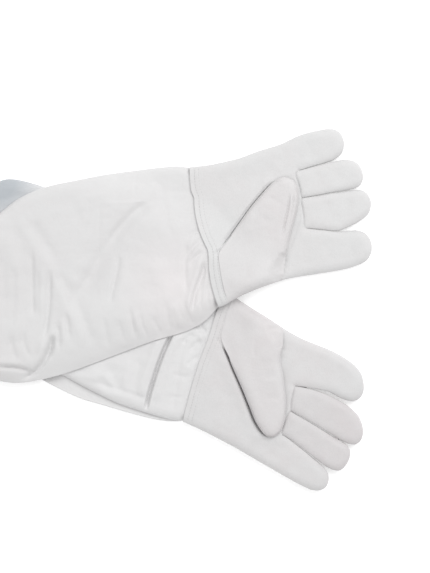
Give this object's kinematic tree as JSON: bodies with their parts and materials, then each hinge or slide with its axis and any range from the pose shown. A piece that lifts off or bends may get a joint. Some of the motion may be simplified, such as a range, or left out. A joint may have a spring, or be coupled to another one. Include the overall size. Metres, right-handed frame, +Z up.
{
  "type": "beekeeping gloves",
  "caption": "Pair of white goatskin beekeeping gloves with long cotton canvas gauntlets and elasticated hems, lying palm up and crossed, with bending fingers, thumbs and wrist",
  "frame": {"origin": "middle of the pair's footprint, on the surface it lies on", "axes": "+X runs toward the fingertips across the crossed pair, +Y runs across the pair toward the upper glove's little finger, +Z up from the surface; palms face +Z"},
  "size_m": [0.4691, 0.3792, 0.0364],
  "materials": {
    "goatskin": "matt white goatskin with a soft fine grain and faint pinkish patches",
    "canvas": "matt off-white plain-weave cotton canvas, lightly creased",
    "elastic": "matt white woven elastic band"
  },
  "bodies": {
    "left_glove": {"left_gauntlet_palm_panel": "canvas", "left_gauntlet_back_panel": "canvas", "left_gauntlet_hem_casing": "canvas", "left_gauntlet_hem_elastic": "elastic", "left_palm_panel": "goatskin", "left_back_panel": "goatskin"},
    "left_thumb": {"left_thumb_back": "goatskin", "left_thumb_front": "goatskin"},
    "left_index_finger": {"left_index_front": "goatskin", "left_index_back": "goatskin", "left_index_fourchette_outward": "goatskin"},
    "left_middle_finger": {"left_middle_front": "goatskin", "left_middle_back": "goatskin", "left_middle_fourchette_thumbward": "goatskin", "left_middle_fourchette_outward": "goatskin"},
    "left_ring_finger": {"left_ring_front": "goatskin", "left_ring_back": "goatskin", "left_ring_fourchette_thumbward": "goatskin", "left_ring_fourchette_outward": "goatskin"},
    "left_little_finger": {"left_little_front": "goatskin", "left_little_back": "goatskin", "left_little_fourchette_thumbward": "goatskin"},
    "right_gauntlet": {"right_gauntlet_palm_panel": "canvas", "right_gauntlet_back_panel": "canvas", "right_gauntlet_hem_casing": "canvas", "right_gauntlet_hem_elastic": "elastic"},
    "right_hand": {"right_palm_panel": "goatskin", "right_back_panel": "goatskin"},
    "right_thumb": {"right_thumb_back": "goatskin", "right_thumb_front": "goatskin"},
    "right_index_finger": {"right_index_front": "goatskin", "right_index_back": "goatskin", "right_index_fourchette_outward": "goatskin"},
    "right_middle_finger": {"right_middle_front": "goatskin", "right_middle_back": "goatskin", "right_middle_fourchette_thumbward": "goatskin", "right_middle_fourchette_outward": "goatskin"},
    "right_ring_finger": {"right_ring_front": "goatskin", "right_ring_back": "goatskin", "right_ring_fourchette_thumbward": "goatskin", "right_ring_fourchette_outward": "goatskin"},
    "right_little_finger": {"right_little_front": "goatskin", "right_little_back": "goatskin", "right_little_fourchette_thumbward": "goatskin"}
  },
  "joints": [
    {"name": "right_glove_lift", "type": "slide", "parent": "left_glove", "child": "right_gauntlet", "axis": [0, 0, 1], "range_m": [0, 0.15]},
    {"name": "right_wrist_bend", "type": "hinge", "parent": "right_gauntlet", "child": "right_hand", "pos_m": [0.05705, 0.07887, 0.0225], "axis": [0.2, -0.9745, 0.1015], "range_deg": [0, 75]},
    {"name": "left_index_curl", "type": "hinge", "parent": "left_glove", "child": "left_index_finger", "pos_m": [0.17868, -0.05671, 0.012], "axis": [-0.4962, -0.8682, 0], "range_deg": [0, 85]},
    {"name": "left_middle_curl", "type": "hinge", "parent": "left_glove", "child": "left_middle_finger", "pos_m": [0.15943, -0.0904, 0.012], "axis": [-0.4962, -0.8682, 0], "range_deg": [0, 85]},
    {"name": "left_ring_curl", "type": "hinge", "parent": "left_glove", "child": "left_ring_finger", "pos_m": [0.14261, -0.11983, 0.012], "axis": [-0.4962, -0.8682, 0], "range_deg": [0, 85]},
    {"name": "left_little_curl", "type": "hinge", "parent": "left_glove", "child": "left_little_finger", "pos_m": [0.12698, -0.14718, 0.012], "axis": [-0.4962, -0.8682, 0], "range_deg": [0, 85]},
    {"name": "right_index_curl", "type": "hinge", "parent": "right_hand", "child": "right_index_finger", "pos_m": [0.17097, 0.05938, 0.0121], "axis": [0.2096, -0.9778, 0], "range_deg": [0, 85]},
    {"name": "right_middle_curl", "type": "hinge", "parent": "right_hand", "child": "right_middle_finger", "pos_m": [0.16252, 0.09878, 0.012], "axis": [0.2096, -0.9778, 0], "range_deg": [0, 85]},
    {"name": "right_ring_curl", "type": "hinge", "parent": "right_hand", "child": "right_ring_finger", "pos_m": [0.15503, 0.13369, 0.012], "axis": [0.2096, -0.9778, 0], "range_deg": [0, 85]},
    {"name": "right_little_curl", "type": "hinge", "parent": "right_hand", "child": "right_little_finger", "pos_m": [0.14824, 0.16537, 0.012], "axis": [0.2096, -0.9778, 0], "range_deg": [0, 85]},
    {"name": "left_thumb_unfold", "type": "hinge", "parent": "left_glove", "child": "left_thumb", "pos_m": [0.11778, -0.00514, 0.0177], "axis": [-0.8702, 0.4927, 0], "range_deg": [0, 100]},
    {"name": "right_thumb_unfold", "type": "hinge", "parent": "right_hand", "child": "right_thumb", "pos_m": [0.10984, 0.02386, 0.0285], "axis": [0.9276, 0.3426, -0.1491], "range_deg": [0, 130]}
  ]
}
